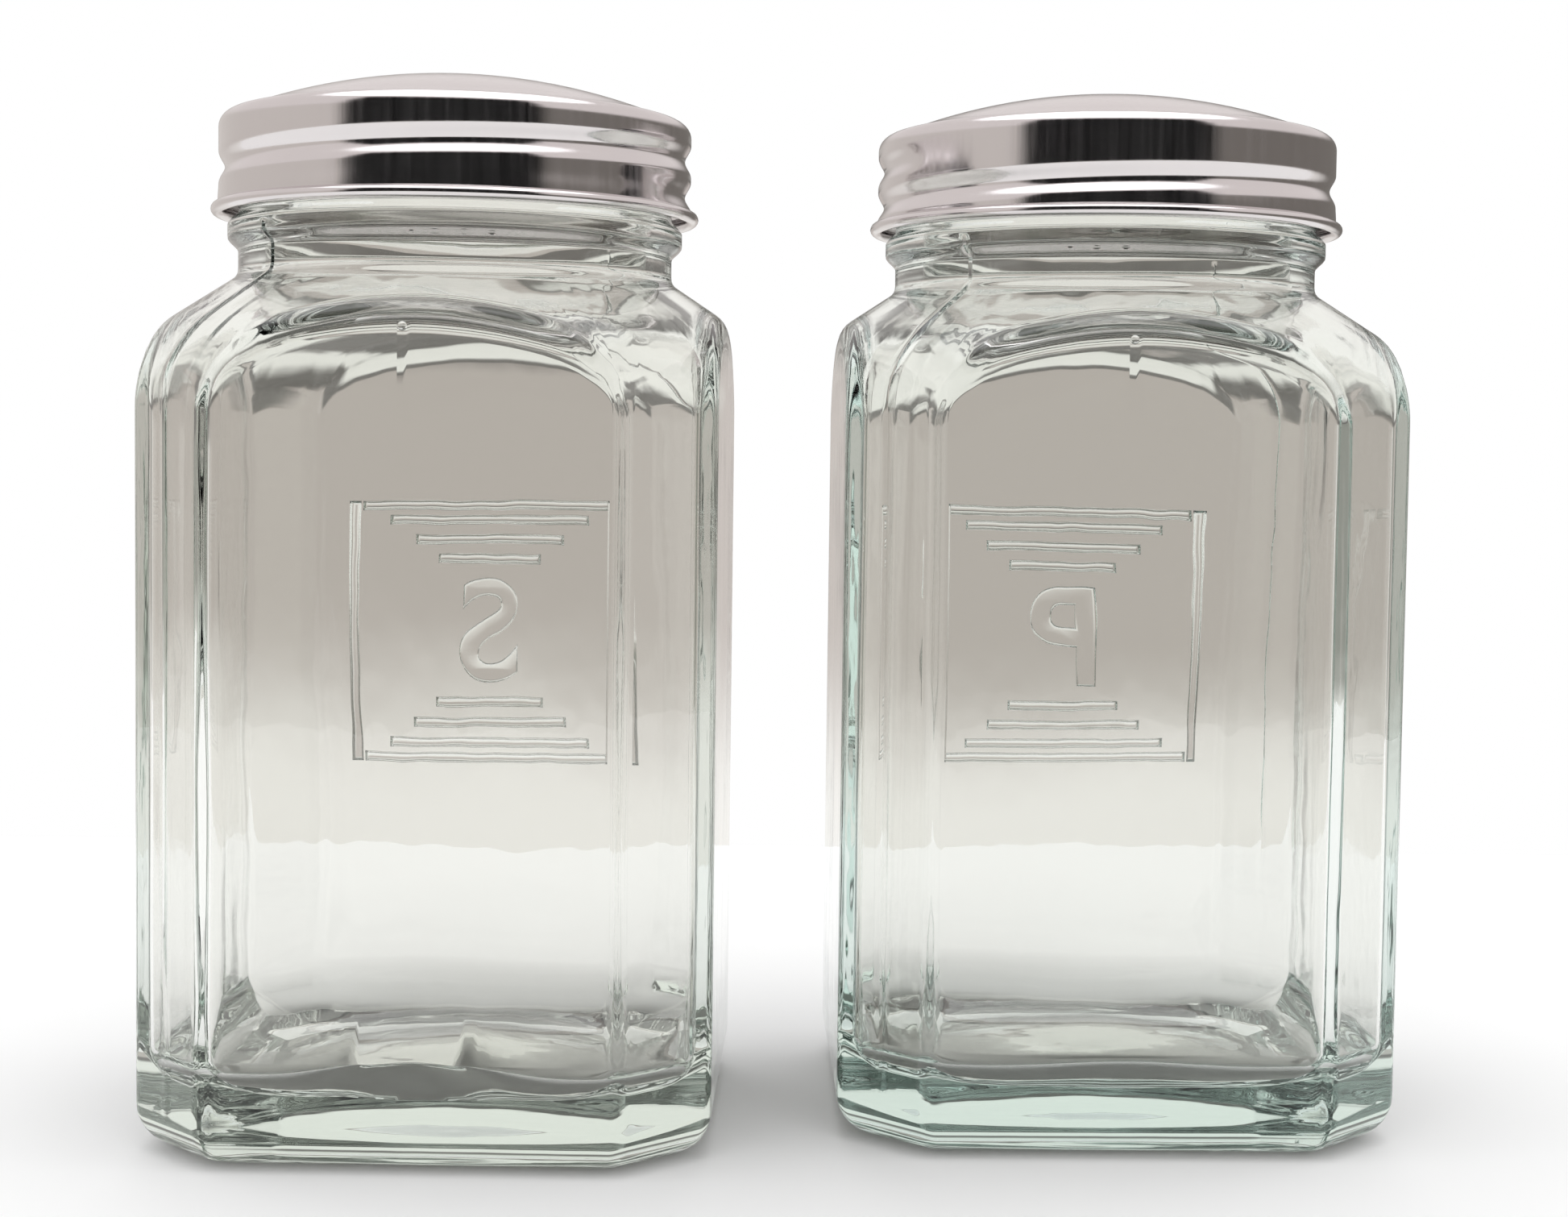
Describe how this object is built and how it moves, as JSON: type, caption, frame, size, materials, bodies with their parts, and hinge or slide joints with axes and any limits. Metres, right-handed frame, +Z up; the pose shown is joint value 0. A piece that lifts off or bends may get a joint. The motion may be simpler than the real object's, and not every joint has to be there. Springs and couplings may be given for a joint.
{
  "type": "salt and pepper shaker set",
  "caption": "Square pressed-glass salt and pepper shakers with cut corners and sloping shoulders, each under a domed, perforated steel screw lid.",
  "frame": {"origin": "on the table, at the middle of the pair's bounding box", "axes": "+Z up; +X from the salt shaker to the pepper shaker; +Y to the back, where the relief panels face"},
  "size_m": [0.1409, 0.0741, 0.1203],
  "materials": {
    "glass": "clear pressed glass with a faint green-blue tint",
    "lid_steel": "fine satin with polished edges",
    "seal": "soft matt off-white"
  },
  "bodies": {
    "salt_jar": {"salt_jar": "glass"},
    "salt_seal_ring": {"salt_seal_ring": "seal"},
    "salt_lid": {"salt_lid": "lid_steel"},
    "pepper_jar": {"pepper_jar": "glass"},
    "pepper_seal_ring": {"pepper_seal_ring": "seal"},
    "pepper_lid": {"pepper_lid": "lid_steel"}
  },
  "joints": [
    {"name": "salt_lid_rise", "type": "slide", "parent": "salt_jar", "child": "salt_seal_ring", "axis": [0, 0, 1], "range_m": [0, 0.0217]},
    {"name": "salt_lid_turn", "type": "hinge", "parent": "salt_seal_ring", "child": "salt_lid", "pos_m": [-0.0383, -0.0047, 0.1045], "axis": [0, 0, 1], "range_deg": [0, 1800]},
    {"name": "pepper_lid_rise", "type": "slide", "parent": "pepper_jar", "child": "pepper_seal_ring", "axis": [0, 0, 1], "range_m": [0, 0.0217]},
    {"name": "pepper_lid_turn", "type": "hinge", "parent": "pepper_seal_ring", "child": "pepper_lid", "pos_m": [0.0383, 0.0047, 0.1045], "axis": [0, 0, 1], "range_deg": [0, 1800]},
    {"name": "pepper_lift", "type": "slide", "parent": "salt_jar", "child": "pepper_jar", "axis": [0, 0, 1], "range_m": [0, 0.15]}
  ],
  "couplings": [
    {"joint": "salt_lid_rise", "follows": "salt_lid_turn", "m_per_rad": 0.0006737},
    {"joint": "pepper_lid_rise", "follows": "pepper_lid_turn", "m_per_rad": 0.0006737}
  ]
}
